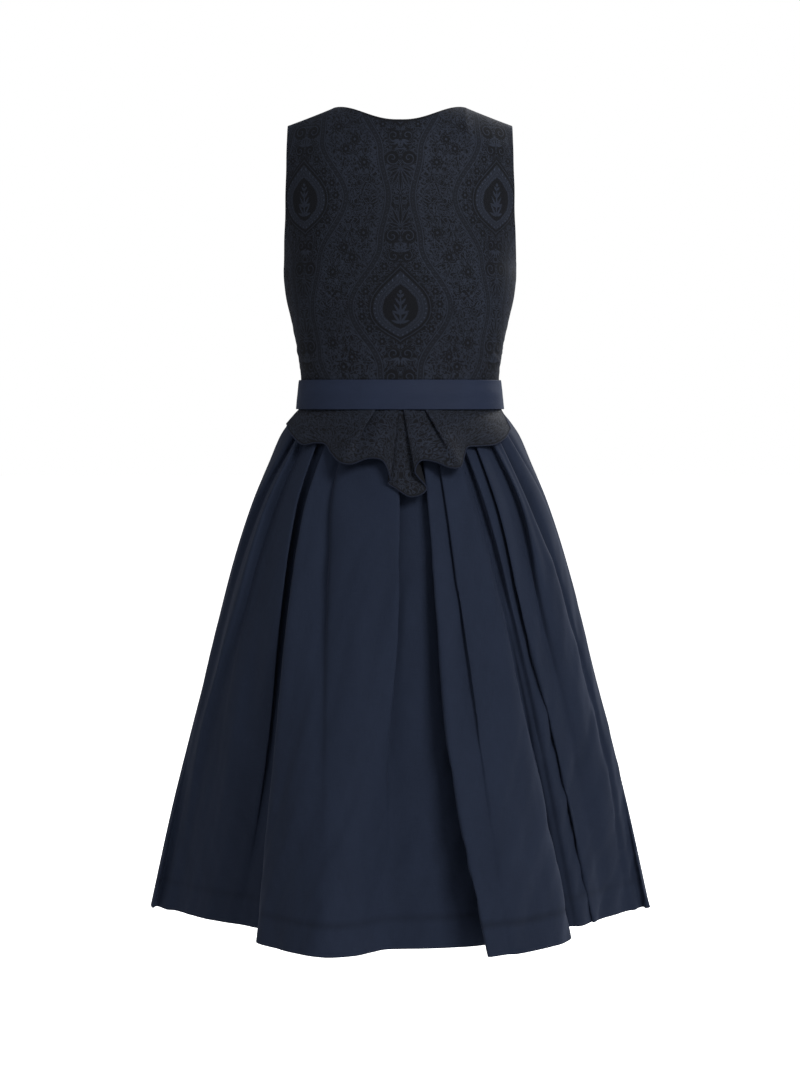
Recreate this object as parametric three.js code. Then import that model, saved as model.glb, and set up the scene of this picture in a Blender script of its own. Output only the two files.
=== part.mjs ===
// A sleeveless dirndl in its worn, hollow form: a fitted bodice, a fluted peplum at the back,
// a band round the waist and a pleated skirt. Millimetres, +Z up, the front faces -Y and the back +Y.
// The origin is midway between the two shoulder seams, where the wearer's shoulders carry it.
import * as THREE from "three";

// Heights
const NECK_POINT_Z = 11;
const SHOULDER_TIP_Z = -13;
const NAPE_Z = -13.5;
const FRONT_NECK_Z = -118;
const UNDERARM_Z = -200;
const BAND_TOP_Z = -361;
const WAIST_SEAM_Z = -380;
const PEPLUM_TOP_Z = -387;
const BAND_FOOT_Z = -399.5;
const HEM_Z = -1079;

// Cloth
const SEAM_GAP = 0.3;
const BODICE_CLOTH = 1.2;
const SKIRT_CLOTH = 1.2;
const PEPLUM_CLOTH = 1.0;
const BAND_CLOTH = 1.4;

const clamp01 = (x) => Math.min(1, Math.max(0, x));
const lerp = (a, b, t) => a + (b - a) * t;
const smooth = (x) => clamp01(x) ** 2 * (3 - 2 * clamp01(x));

// A curve through the rows of a table that never overshoots them.
function through(rows, xKey, yKey) {
  const sorted = [...rows].sort((a, b) => a[xKey] - b[xKey]);
  const xs = sorted.map((r) => r[xKey]);
  const ys = sorted.map((r) => r[yKey]);
  const last = xs.length - 1;
  const rate = (i) => (ys[i + 1] - ys[i]) / (xs[i + 1] - xs[i]);
  const slope = xs.map((_, i) => {
    if (i === 0) return rate(0);
    if (i === last) return rate(last - 1);
    const [before, after] = [rate(i - 1), rate(i)];
    return before * after <= 0 ? 0 : (2 * before * after) / (before + after);
  });
  return (x) => {
    if (x <= xs[0]) return ys[0];
    if (x >= xs[last]) return ys[last];
    const i = xs.findIndex((v) => x <= v) - 1;
    const h = xs[i + 1] - xs[i];
    const t = (x - xs[i]) / h;
    const ease = t * t * (3 - 2 * t);
    return lerp(ys[i], ys[i + 1], ease) + h * t * (1 - t) * (slope[i] * (1 - t) - slope[i + 1] * t);
  };
}

function tableCurves(rows, xKey, keys) {
  return Object.fromEntries(keys.map((key) => [key, through(rows, xKey, key)]));
}

// Points along a smooth line through plan points, with a number of steps between each two.
function smoothLine(points, steps) {
  const curve = new THREE.CatmullRomCurve3(points, false, "centripetal");
  const spans = points.length - 1;
  return Array.from({ length: spans * steps + 1 }, (_, i) => curve.getPoint(i / (spans * steps)));
}

// A cloth wall round a grid of points on its middle surface, grid[row][column], closed at its edges.
// seams(row, column) names the axes along which the cloth's edge lies flat against the next panel.
function clothSolid(grid, thickness, seams) {
  const MITRE_LIMIT = 1.5;
  const rows = grid.length;
  const cols = grid[0].length;
  const faces = [[], []];
  for (let r = 0; r < rows; r++) {
    for (let c = 0; c < cols; c++) {
      const p = grid[r][c];
      const before = grid[r][Math.max(0, c - 1)];
      const after = grid[r][Math.min(cols - 1, c + 1)];
      const down = grid[Math.min(rows - 1, r + 1)][c].clone().sub(grid[Math.max(0, r - 1)][c]);
      const legs = [p.clone().sub(before), after.clone().sub(p)].filter((leg) => leg.lengthSq() > 1e-6);
      const sides = legs.map((leg) => down.clone().cross(leg).normalize());
      const normal = sides.reduce((sum, side) => sum.add(side), new THREE.Vector3()).normalize();
      const lean = Math.max(1 / MITRE_LIMIT, Math.abs(sides[0].dot(normal)));
      for (const axis of seams(r, c)) normal[axis] = 0;
      normal.normalize();
      faces[0].push(p.clone().addScaledVector(normal, thickness / 2 / lean));
      faces[1].push(p.clone().addScaledVector(normal, -thickness / 2 / lean));
    }
  }
  const count = rows * cols;
  const at = (r, c) => r * cols + c;
  const index = [];
  const quad = (a, b, c, d) => index.push(a, b, c, a, c, d);
  for (let r = 0; r < rows - 1; r++) {
    for (let c = 0; c < cols - 1; c++) {
      const [a, b, d, e] = [at(r, c), at(r, c + 1), at(r + 1, c), at(r + 1, c + 1)];
      quad(a, d, e, b);
      quad(count + a, count + b, count + e, count + d);
    }
  }
  const rim = (a, b) => quad(a, b, count + b, count + a);
  for (let c = 0; c < cols - 1; c++) {
    rim(at(0, c), at(0, c + 1));
    rim(at(rows - 1, c + 1), at(rows - 1, c));
  }
  for (let r = 0; r < rows - 1; r++) {
    rim(at(r + 1, 0), at(r, 0));
    rim(at(r, cols - 1), at(r + 1, cols - 1));
  }
  const geometry = new THREE.BufferGeometry();
  const numbers = faces.flat().flatMap((v) => [v.x, v.y, v.z]);
  geometry.setAttribute("position", new THREE.Float32BufferAttribute(numbers, 3));
  geometry.setIndex(index);
  geometry.computeVertexNormals();
  return geometry;
}

function cloth(name, grid, thickness, material, seams = () => []) {
  const mesh = new THREE.Mesh(clothSolid(grid, thickness, seams), material);
  mesh.name = name;
  return mesh;
}

// The bodice's form at a few heights: its half width, how deep the panel's edge lies at the armhole,
// the middle of the back and of the chest, and how far round the edge turns.
const TORSO = [
  { z: -380, half: 136.4, backEdge: 0, spine: 92.6, frontEdge: 0, chest: -98.4, turn: 90 },
  { z: -361, half: 135.6, backEdge: 0, spine: 93, frontEdge: 0, chest: -99, turn: 90 },
  { z: -314, half: 141.5, backEdge: 0, spine: 99, frontEdge: 0, chest: -103, turn: 90 },
  { z: -273, half: 150.5, backEdge: 0, spine: 107, frontEdge: 0, chest: -107, turn: 90 },
  { z: -244, half: 156.5, backEdge: 0, spine: 112, frontEdge: 0, chest: -110, turn: 88 },
  { z: -212, half: 159.4, backEdge: 0, spine: 116, frontEdge: 0, chest: -109, turn: 84 },
  { z: -182, half: 158.4, backEdge: 14, spine: 118.5, frontEdge: -18, chest: -104, turn: 72 },
  { z: -140, half: 156.2, backEdge: 34, spine: 119, frontEdge: -44, chest: -94, turn: 60 },
  { z: -90, half: 154.6, backEdge: 42, spine: 114, frontEdge: -50, chest: -80, turn: 53 },
  { z: -50, half: 154, backEdge: 42, spine: 105, frontEdge: -46, chest: -68, turn: 50 },
  { z: -10, half: 153.6, backEdge: 38, spine: 96, frontEdge: -38, chest: -60, turn: 50 },
  { z: 20, half: 153.4, backEdge: 34, spine: 90, frontEdge: -34, chest: -56, turn: 50 },
];
const torso = tableCurves(TORSO, "z", ["half", "backEdge", "spine", "frontEdge", "chest", "turn"]);
const NECK_SHARE = 0.58;
const NECK_POINT_Y = 12;
const SHOULDER_TIP_Y = 3;
const SHOULDER_ROLL = 84;
const ARMHOLE_SCOOP = 12;
const BUST = { x: 74, z: -206, out: 16, wide: 50, high: 60 };

// How far round from the side towards the middle line a share of the half width lies, 0 to 1.
function roundShare(s, turnDeg) {
  const turn = THREE.MathUtils.degToRad(turnDeg);
  const here = Math.asin(Math.min(1, Math.abs(s) * Math.sin(turn)));
  return (Math.cos(here) - Math.cos(turn)) / (1 - Math.cos(turn));
}

// The shoulder line of the form, from one tip over the neck to the other.
const shoulderShare = (s) => clamp01((Math.abs(s) - NECK_SHARE) / (1 - NECK_SHARE));
const neckRise = (s) => 24 * (1 - Math.min(1, Math.abs(s) / NECK_SHARE)) ** 1.2;
const shoulderZ = (s) => lerp(NECK_POINT_Z, SHOULDER_TIP_Z, shoulderShare(s) ** 0.95) + neckRise(s);
const shoulderY = (s) => lerp(NECK_POINT_Y, SHOULDER_TIP_Y, shoulderShare(s));

function backTop(s) {
  const across = Math.min(1, Math.abs(s) / NECK_SHARE);
  const lift = (1 - Math.cos(Math.PI * across ** 1.15)) / 2;
  return across < 1 ? lerp(NAPE_Z, NECK_POINT_Z, lift) : shoulderZ(s);
}

function frontTop(s) {
  const across = Math.min(1, Math.abs(s) / NECK_SHARE);
  return across < 1 ? lerp(FRONT_NECK_Z, NECK_POINT_Z, across ** 2.3) : shoulderZ(s);
}

// A point of the form's surface: s is the share of the half width, face +1 behind and -1 in front.
function bodicePoint(s, z, face) {
  const armhole = clamp01((z - UNDERARM_Z) / (SHOULDER_TIP_Z - UNDERARM_Z));
  const scoop = face < 0 ? ARMHOLE_SCOOP * Math.sin(Math.PI * armhole) ** 1.3 * s * s : 0;
  const x = s * (torso.half(z) - BODICE_CLOTH / 2) - Math.sign(s) * scoop;
  const edge = face > 0 ? torso.backEdge(z) : torso.frontEdge(z);
  const middle = face > 0 ? torso.spine(z) : torso.chest(z);
  const bump = Math.exp(-(((Math.abs(x) - BUST.x) / BUST.wide) ** 2) - ((z - BUST.z) / BUST.high) ** 2);
  const bust = face < 0 ? BUST.out * bump * (1 - Math.abs(s) ** 6) : 0;
  const full = lerp(edge, middle, roundShare(s, torso.turn(z))) + face * bust;
  const fall = clamp01((shoulderZ(s) - z) / SHOULDER_ROLL);
  const y = lerp(shoulderY(s), full, Math.sqrt(1 - (1 - fall) ** 2));
  return new THREE.Vector3(x, y + (face * SEAM_GAP) / 2, z);
}

// Distances below the top edge, close together where the cloth rolls over the shoulder.
const ROLL_DROPS = [0, 3.5, 12, 26, 46, 72];
const BODY_ROWS = 10;
const BODICE_ROWS = ROLL_DROPS.length + BODY_ROWS;
function bodiceRow(r, top) {
  if (r < ROLL_DROPS.length) return top - ROLL_DROPS[r];
  const share = (r - ROLL_DROPS.length + 1) / BODY_ROWS;
  return lerp(top - ROLL_DROPS[ROLL_DROPS.length - 1], WAIST_SEAM_Z + SEAM_GAP / 2, share);
}

// Shares of the half width, closer together round the neck point and at the side.
const HALF_COLUMNS = [0, 0.16, 0.31, 0.43, 0.51, 0.555, 0.573, NECK_SHARE, 0.64, 0.74, 0.84, 0.92, 0.975, 1];

function bodiceGrid(columns, top, face) {
  const row = (r) => columns.map((s) => bodicePoint(s, bodiceRow(r, top(s)), face));
  return Array.from({ length: BODICE_ROWS }, (_, r) => row(r));
}

// Where a bodice panel meets its neighbours: shoulder seams, side seams, the waist and the closing.
function bodiceSeams(columns, closingAt) {
  return (r, c) => {
    const axes = [];
    if (r === 0 && Math.abs(columns[c]) >= NECK_SHARE) axes.push("y");
    if (Math.abs(columns[c]) === 1) axes.push("y");
    if (r === BODICE_ROWS - 1) axes.push("z");
    if (c === closingAt) axes.push("x");
    return axes;
  };
}

function bodiceBack() {
  const columns = [...HALF_COLUMNS, ...HALF_COLUMNS.slice(1).map((s) => -s)].sort((a, b) => b - a);
  const grid = bodiceGrid(columns, backTop, 1);
  return cloth("bodice_back", grid, BODICE_CLOTH, jacquard, bodiceSeams(columns, -1));
}

function bodiceFront(name, side) {
  const closing = SEAM_GAP / 2 / torso.half(BUST.z);
  const columns = HALF_COLUMNS.map((s) => side * Math.max(s, closing));
  columns.sort((a, b) => a - b);
  const seams = bodiceSeams(columns, side > 0 ? 0 : columns.length - 1);
  return cloth(name, bodiceGrid(columns, frontTop, -1), BODICE_CLOTH, jacquard, seams);
}

// The smooth outline that the waist, peplum and skirt follow: half width and depths at a few heights.
const OUTLINE = [
  { z: -361, half: 135, back: 92.4, front: 98.4 },
  { z: -380, half: 135.8, back: 92.6, front: 98.6 },
  { z: -399.5, half: 138, back: 95.5, front: 101 },
  { z: -418, half: 151, back: 106, front: 110 },
  { z: -436, half: 163, back: 117, front: 119 },
  { z: -472, half: 178.4, back: 134, front: 133 },
  { z: -526, half: 201, back: 155, front: 150 },
  { z: -603, half: 226, back: 179, front: 170 },
  { z: -692, half: 249, back: 202, front: 190 },
  { z: -768, half: 267, back: 219, front: 206 },
  { z: -842, half: 286, back: 235, front: 222 },
  { z: -942, half: 311, back: 257, front: 246 },
  { z: -1079, half: 341, back: 290, front: 282 },
];
const outline = tableCurves(OUTLINE, "z", ["half", "back", "front"]);
const HEM_ROUND = 1.85;
const skirtShare = (z) => clamp01((BAND_FOOT_Z - z) / (BAND_FOOT_Z - HEM_Z));

// A point at a distance x from the middle, a little out from the smooth outline: along its normal, or
// straight forwards or back by the share straight.
function onOutline(x, z, face, out, straight = 0) {
  const half = outline.half(z);
  const depth = face > 0 ? outline.back(z) : outline.front(z);
  const power = lerp(2, HEM_ROUND, skirtShare(z));
  const share = Math.min(0.9995, Math.abs(x) / half);
  const rise = (1 - share ** power) ** (1 / power);
  const normal = new THREE.Vector3((Math.sign(x) * share ** (power - 1)) / half, 0, 0);
  normal.y = (face * rise ** (power - 1)) / depth;
  const way = normal.normalize().lerp(new THREE.Vector3(0, face, 0), straight);
  return new THREE.Vector3(share * half * Math.sign(x), face * depth * rise, z).addScaledVector(way, out);
}

// Folds of the skirt's back, from the wearer's right (+X) to the left. x says where a fold's edge runs at
// the waist, hip, thigh, knee and hem. lap is 1 where the cloth on the -X side lies on top and -1 where the
// cloth on the +X side does. edge and valley are distances out of the smooth outline at the hip and the
// thigh, and tuck says how far the valley lies under the edge. At the hem they are depths in Y.
const BACK_FOLDS = [
  { name: "side_right", lap: -1, x: [122, 199, 239, 280, 332], edge: [4, 0], valley: [-15, -3],
    tuck: [-9, -6], hem: { edge: 10, valley: 15, tuck: -5 } },
  { name: "right_roll", lap: -1, x: [113, 181, 220, 268, 306], edge: [7, 5], valley: [-16, -15],
    tuck: [-12, -11], hem: { edge: 37, valley: 45, tuck: -8 } },
  { name: "right_second", lap: -1, x: [94, 139, 157, 172, 215], edge: [5, 3], valley: [-14, -16],
    tuck: [2, 1], hem: { edge: 123, valley: 127, tuck: -6 } },
  { name: "right_panel", lap: 1, x: [80, 127, 147, 163, 181], edge: [7, 9], valley: [-13, -22],
    tuck: [8, 10], hem: { edge: 236, valley: 160, tuck: 9 } },
  { name: "right_dart", lap: 1, x: [62, 88, 91, 92, 84], edge: [3, 3], valley: [-6, -5],
    tuck: [-6, -7], hem: { edge: 322, valley: 320, tuck: -16 } },
  { name: "middle_right", lap: -1, x: [4, 1, 2, 15, 20], edge: [6, 3], valley: [-10, -9],
    tuck: [11, 5], hem: { edge: 277, valley: 273, tuck: -20 } },
  { name: "middle_left", lap: 1, x: [-23, -38, -49, -63, -110], edge: [6, 13], valley: [-10, -15],
    tuck: [9, 12], hem: { edge: 318, valley: 249, tuck: 8 } },
  { name: "left_ply", lap: 1, x: [-40, -62, -80, -104, -146], edge: [6, 11], valley: [-3, 4],
    tuck: [6, 0], hem: { edge: 301, valley: 304, tuck: -12 } },
  { name: "left_panel", lap: -1, x: [-55, -96, -131, -168, -219], edge: [5, 6], valley: [-9, -10],
    tuck: [-8, -5], hem: { edge: 219, valley: 134, tuck: 5 } },
  { name: "left_strip", lap: 1, x: [-65, -116, -150, -188, -236], edge: [5, 0], valley: [-9, -6],
    tuck: [-4, -6], hem: { edge: 137, valley: 137, tuck: -7 } },
  { name: "left_second", lap: 1, x: [-82, -131, -161, -203, -256], edge: [7, 6], valley: [-10, -12],
    tuck: [5, 4], hem: { edge: 113, valley: 104, tuck: 1 } },
  { name: "left_third", lap: 1, x: [-99, -165, -193, -234, -280], edge: [6, 1], valley: [-12, -7],
    tuck: [-6, -8], hem: { edge: 76, valley: 84, tuck: -6 } },
  { name: "left_fourth", lap: -1, x: [-112, -175, -223, -266, -304], edge: [4, 6], valley: [-16, -12],
    tuck: [2, -2], hem: { edge: 45, valley: 38, tuck: -6 } },
  { name: "side_left", lap: -1, x: [-124, -198, -239, -280, -327], edge: [4, 0], valley: [-9, -3],
    tuck: [-3, -5], hem: { edge: 18, valley: 12, tuck: -5 } },
];

// Folds of the skirt's front: a smooth middle panel, then knife folds that point to the sides.
const FRONT_FOLDS = [
  { name: "front_edge", lap: -1, x: [60, 74, 86, 104, 128], edge: [5, 6], valley: [-9, -14],
    tuck: [8, 9], hem: { edge: -266, valley: -238, tuck: 8 } },
  { name: "front_second", lap: -1, x: [86, 112, 134, 160, 194], edge: [5, 6], valley: [-9, -13],
    tuck: [6, 7], hem: { edge: -232, valley: -206, tuck: 4 } },
  { name: "front_third", lap: -1, x: [108, 148, 178, 210, 254], edge: [6, 6], valley: [-10, -13],
    tuck: [5, 5], hem: { edge: -183, valley: -162, tuck: 2 } },
  { name: "front_side", lap: -1, x: [127, 183, 222, 259, 310], edge: [5, 5], valley: [-12, -13],
    tuck: [3, 3], hem: { edge: -108, valley: -96, tuck: 0 } },
];
function otherHalf(fold) {
  return { ...fold, name: fold.name + "_left", lap: -fold.lap, x: fold.x.map((x) => -x) };
}

const FOLD_STATIONS = [0, 0.2, 0.4, 0.64, 1];
const DEPTH_STATIONS = [0, 0.2, 0.5, 1];
const WAIST_DEPTH = 3.2;
const WAIST_TUCK = 2.2;
const HEM_DRAWS_FROM = 0.3;
const STRAIGHT_FROM = 0.15;
// Above the band's foot a fold moves in by this share of its distance from the middle, a millimetre.
const DRAW_IN = 1 / 1500;

function alongSkirt(stations, values, t) {
  return through(stations.map((at, i) => ({ at, value: values[i] })), "at", "value")(t);
}

// A fold's edge and valley at a height, in order from +X to -X.
function foldPoints(fold, z, face) {
  const t = skirtShare(z);
  const aboveFoot = Math.max(0, z - BAND_FOOT_Z);
  const x = alongSkirt(FOLD_STATIONS, fold.x, t) - fold.x[0] * aboveFoot * DRAW_IN;
  const under = alongSkirt(DEPTH_STATIONS, [WAIST_TUCK, ...fold.tuck, fold.hem.tuck], t);
  const depth = face > 0 ? outline.back : outline.front;
  const nearHem = smooth((t - HEM_DRAWS_FROM) / (1 - HEM_DRAWS_FROM));
  const place = (at, waistOut, [hipOut, thighOut], hemDepth) => {
    const out = alongSkirt(DEPTH_STATIONS, [waistOut, hipOut, thighOut, thighOut], t);
    const lower = new THREE.Vector3(at, (hemDepth * depth(z)) / depth(HEM_Z), z);
    return onOutline(at, z, face, out, smooth(t / STRAIGHT_FROM)).lerp(lower, nearHem);
  };
  const valley = place(x - fold.lap * under, -WAIST_DEPTH, fold.valley, fold.hem.valley);
  const edge = place(x, 0, fold.edge, fold.hem.edge);
  return fold.lap > 0 ? [valley, edge] : [edge, valley];
}

const SKIRT_ROWS = 16;
const SKIRT_STEPS = 2;
const BELLY_SPACING = 52;
const BELLY = 0.16;

// Points between two folds: the panel swells a little out from the straight line between them.
function panelBellies(a, b, z, face, count) {
  const lift = (p) => p.y - onOutline(p.x, z, face, 0).y;
  const swell = face * BELLY * Math.abs(lift(a) - lift(b));
  return Array.from({ length: count }, (_, i) => {
    const f = (i + 1) / (count + 1);
    if (a.distanceTo(b) < 8) return a.clone().lerp(b, f);
    const x = lerp(a.x, b.x, f);
    const y = onOutline(x, z, face, 0).y + lerp(lift(a), lift(b), f) + 4 * f * (1 - f) * swell;
    return new THREE.Vector3(x, y, z);
  });
}

function skirtGrid(folds, face) {
  const hemHalf = outline.half(HEM_Z);
  const hemX = [hemHalf, ...folds.map((fold) => fold.x[fold.x.length - 1]), -hemHalf];
  const counts = hemX.slice(1).map((x, i) => Math.max(1, Math.round((hemX[i] - x) / BELLY_SPACING)));
  return Array.from({ length: SKIRT_ROWS }, (_, r) => {
    const z = lerp(WAIST_SEAM_Z - SEAM_GAP / 2, HEM_Z, (r / (SKIRT_ROWS - 1)) ** 1.3);
    const seam = (side) => new THREE.Vector3(side * outline.half(z), (face * SEAM_GAP) / 2, z);
    const knots = [seam(1), ...folds.flatMap((fold) => foldPoints(fold, z, face)), seam(-1)];
    const points = [knots[0]];
    for (let i = 1; i < knots.length; i++) {
      if (i % 2 === 1) points.push(...panelBellies(knots[i - 1], knots[i], z, face, counts[(i - 1) / 2]));
      points.push(knots[i]);
    }
    return smoothLine(points, SKIRT_STEPS);
  });
}

function skirtPanel(name, folds, face) {
  const grid = face > 0 ? skirtGrid(folds, face) : skirtGrid(folds, face).map((row) => row.reverse());
  const last = grid[0].length - 1;
  const seams = (r, c) => [...(c === 0 || c === last ? ["y"] : []), ...(r === 0 ? ["z"] : [])];
  return cloth(name, grid, SKIRT_CLOTH, navyWeave, seams);
}

// Ribs of the peplum from the wearer's right to the left: x at the top and at the hem, the hem's height,
// how far out from the smooth outline the cloth lies at the top and at the hem, and whether the rib
// lies under a fold, where it moves across early and comes out late.
const PEPLUM_RIBS = [
  { name: "end_right", top: 134, foot: 147, hem: -420, topOut: 2.7, hemOut: 7.3, under: 0 },
  { name: "right_corner", top: 128, foot: 141, hem: -433, topOut: 2.6, hemOut: 7.3, under: 0 },
  { name: "right_round", top: 114, foot: 124, hem: -447, topOut: 2.5, hemOut: 8.3, under: 0 },
  { name: "right_dip", top: 100, foot: 109, hem: -444.5, topOut: 2.5, hemOut: 8.3, under: 0 },
  { name: "right_slope", top: 84, foot: 95, hem: -446, topOut: 2.5, hemOut: 10.3, under: 0 },
  { name: "right_flute_side", top: 60, foot: 84, hem: -459, topOut: 3.3, hemOut: 15.3, under: 0 },
  { name: "right_flute_edge", top: 32, foot: 70, hem: -469.5, topOut: 4.7, hemOut: 24.3, under: 0 },
  { name: "right_flute_under", top: 34.5, foot: 58, hem: -471.5, topOut: 2.3, hemOut: 24.3, under: 1 },
  { name: "right_inner", top: 20, foot: 38, hem: -464, topOut: 2.8, hemOut: 20.3, under: 0 },
  { name: "right_inner_near", top: 9, foot: 21, hem: -467, topOut: 3.6, hemOut: 19, under: 0 },
  { name: "right_inner_edge", top: 2, foot: 12, hem: -491, topOut: 4.7, hemOut: 18, under: 0 },
  { name: "right_return", top: 4.5, foot: 15, hem: -496, topOut: 2.3, hemOut: 11.3, under: 0 },
  { name: "middle_right", top: 1, foot: 4, hem: -504, topOut: 2.3, hemOut: 11.3, under: 0 },
  { name: "middle", top: -1.5, foot: -12, hem: -513.5, topOut: 2.3, hemOut: 12, under: 0 },
  { name: "middle_left", top: -4, foot: -27, hem: -510.5, topOut: 2.3, hemOut: 11.3, under: 0 },
  { name: "left_return", top: -7.5, foot: -33, hem: -503, topOut: 2.3, hemOut: 11.3, under: 0 },
  { name: "left_inner_edge", top: -5, foot: -18, hem: -481, topOut: 4.7, hemOut: 20, under: 0 },
  { name: "left_inner_near", top: -12, foot: -25, hem: -467, topOut: 3.8, hemOut: 21, under: 0 },
  { name: "left_inner", top: -20, foot: -42, hem: -468.5, topOut: 2.8, hemOut: 21.3, under: 0 },
  { name: "left_flute_under", top: -35.5, foot: -59, hem: -476, topOut: 2.3, hemOut: 25.3, under: 1 },
  { name: "left_flute_edge", top: -33, foot: -71, hem: -475.5, topOut: 4.7, hemOut: 24.3, under: 0 },
  { name: "left_flute_side", top: -56, foot: -79, hem: -462, topOut: 3.3, hemOut: 15.3, under: 0 },
  { name: "left_slope", top: -70, foot: -85, hem: -450, topOut: 2.5, hemOut: 10.3, under: 0 },
  { name: "left_dip", top: -90, foot: -100, hem: -448.5, topOut: 2.5, hemOut: 8.3, under: 0 },
  { name: "left_round", top: -112, foot: -122, hem: -446.5, topOut: 2.5, hemOut: 8.3, under: 0 },
  { name: "left_corner", top: -127, foot: -136, hem: -438, topOut: 2.6, hemOut: 7.3, under: 0 },
  { name: "end_left", top: -134, foot: -143, hem: -426, topOut: 2.7, hemOut: 7.3, under: 0 },
];
const PEPLUM_ROWS = 9;

function peplum() {
  const grid = Array.from({ length: PEPLUM_ROWS }, (_, r) => {
    const free = Math.max(0, r - 1) / (PEPLUM_ROWS - 2);
    const points = PEPLUM_RIBS.map((rib) => {
      const z = r === 0 ? PEPLUM_TOP_Z : lerp(BAND_FOOT_Z - 1, rib.hem, free);
      const x = lerp(rib.top, rib.foot, free ** lerp(1, 0.6, rib.under));
      return onOutline(x, z, 1, lerp(rib.topOut, rib.hemOut, free ** lerp(0.7, 1.4, rib.under)));
    });
    return smoothLine(points, 2);
  });
  return cloth("peplum", grid, PEPLUM_CLOTH, jacquard);
}

// The band runs all round and its ends meet at the middle of the front.
const BAND_COLUMNS = 72;
const BAND_ROWS = 4;
const BAND_FRONT_OUT = 2.2;
const BAND_SIDE_OUT = 4.3;
const BAND_BACK_OUT = 6.9;
const BAND_TOP_OUT = 3.2;

function waistBand() {
  const grid = Array.from({ length: BAND_ROWS }, (_, r) => {
    const z = lerp(BAND_TOP_Z, BAND_FOOT_Z, r / (BAND_ROWS - 1));
    return Array.from({ length: BAND_COLUMNS + 1 }, (_, c) => {
      const turn = (c / BAND_COLUMNS) * 2 * Math.PI;
      const [x, away] = [Math.sin(turn), -Math.cos(turn)];
      const behind = smooth((away + 0.35) / 1.1);
      const atSide = smooth(1 - Math.abs(away));
      const lower = Math.max(lerp(BAND_FRONT_OUT, BAND_BACK_OUT, behind), BAND_SIDE_OUT * atSide);
      const out = lerp(BAND_TOP_OUT, lower, smooth((-363 - z) / 18));
      const depth = away > 0 ? outline.back(z) : outline.front(z);
      const p = new THREE.Vector3(x * outline.half(z), away * depth, z);
      const normal = new THREE.Vector3(x / outline.half(z), away / depth, 0).normalize();
      if (c === 0 || c === BAND_COLUMNS) p.x = ((c === 0 ? 1 : -1) * SEAM_GAP) / 2;
      return p.addScaledVector(normal, out);
    });
  });
  const seams = (r, c) => (c === 0 || c === BAND_COLUMNS ? ["x"] : []);
  return cloth("waistband", grid, BAND_CLOTH, navySatin, seams);
}

const navyWeave = new THREE.MeshStandardMaterial({ color: 0x1b2233, roughness: 0.85, metalness: 0 });
const jacquard = new THREE.MeshStandardMaterial({ color: 0x14171f, roughness: 0.75, metalness: 0 });
const navySatin = new THREE.MeshStandardMaterial({ color: 0x1e2740, roughness: 0.5, metalness: 0 });

const dirndl = new THREE.Group();
dirndl.add(
  bodiceBack(),
  bodiceFront("bodice_front_right", 1),
  bodiceFront("bodice_front_left", -1),
  waistBand(),
  peplum(),
  skirtPanel("skirt_back", BACK_FOLDS, 1),
  skirtPanel("skirt_front", [...[...FRONT_FOLDS].reverse(), ...FRONT_FOLDS.map(otherHalf)], -1),
);

export default dirndl;
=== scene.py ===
import bpy
import math
import numpy as np
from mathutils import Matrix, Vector


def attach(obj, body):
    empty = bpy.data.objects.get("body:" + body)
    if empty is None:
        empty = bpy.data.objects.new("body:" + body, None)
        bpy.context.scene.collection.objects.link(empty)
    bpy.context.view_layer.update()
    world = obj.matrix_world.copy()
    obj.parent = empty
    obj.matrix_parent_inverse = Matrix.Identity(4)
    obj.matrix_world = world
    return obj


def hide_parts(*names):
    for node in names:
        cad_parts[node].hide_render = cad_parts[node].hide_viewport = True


# The finished look of a sleeveless dirndl: every panel is a thin shell on its solid's form, worked out
# from the same named sizes, with finer folds, edges, weave and jacquard. Lengths are in mm until a mesh
# is made. The front faces -Y, the back +Y, and the wearer's right is +X.
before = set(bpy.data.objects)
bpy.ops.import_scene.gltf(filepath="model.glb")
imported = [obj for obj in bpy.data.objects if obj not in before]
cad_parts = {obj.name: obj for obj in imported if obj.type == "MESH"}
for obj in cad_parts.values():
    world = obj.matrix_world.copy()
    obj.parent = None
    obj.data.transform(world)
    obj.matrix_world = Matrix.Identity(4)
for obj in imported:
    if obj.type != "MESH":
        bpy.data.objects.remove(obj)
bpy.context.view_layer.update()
MM = 0.001

# Sizes shared with the solids
NECK_POINT_Z = 11
SHOULDER_TIP_Z = -13
NAPE_Z = -13.5
FRONT_NECK_Z = -118
UNDERARM_Z = -200
BAND_TOP_Z = -361
WAIST_SEAM_Z = -380
PEPLUM_TOP_Z = -387
BAND_FOOT_Z = -399.5
HEM_Z = -1079
SEAM_GAP = 0.3
BODICE_CLOTH = 1.2
SKIRT_CLOTH = 1.2
PEPLUM_CLOTH = 1.0
BAND_CLOTH = 1.4


def clamp01(x):
    return np.clip(x, 0.0, 1.0)


def lerp(a, b, t):
    return a + (b - a) * t


def smooth(x):
    x = clamp01(x)
    return x * x * (3 - 2 * x)


def through(xs, ys):
    """A curve through a table's points that never overshoots them."""
    order = np.argsort(xs)
    xs = np.asarray(xs, float)[order]
    ys = np.asarray(ys, float)[order]
    rate = np.diff(ys) / np.diff(xs)
    slope = np.empty(len(xs))
    slope[0], slope[-1] = rate[0], rate[-1]
    product, total = rate[:-1] * rate[1:], rate[:-1] + rate[1:]
    slope[1:-1] = np.where(product > 0, 2 * product / np.where(total == 0, 1, total), 0)

    def curve(x):
        x = np.clip(x, xs[0], xs[-1])
        i = np.clip(np.searchsorted(xs, x) - 1, 0, len(xs) - 2)
        h = xs[i + 1] - xs[i]
        t = (x - xs[i]) / h
        ease = t * t * (3 - 2 * t)
        return lerp(ys[i], ys[i + 1], ease) + h * t * (1 - t) * (slope[i] * (1 - t) - slope[i + 1] * t)

    return curve


def table_curves(columns, rows):
    names = columns.split()
    at = [row[0] for row in rows]
    return {name: through(at, [row[i + 1] for row in rows]) for i, name in enumerate(names[1:])}


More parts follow.
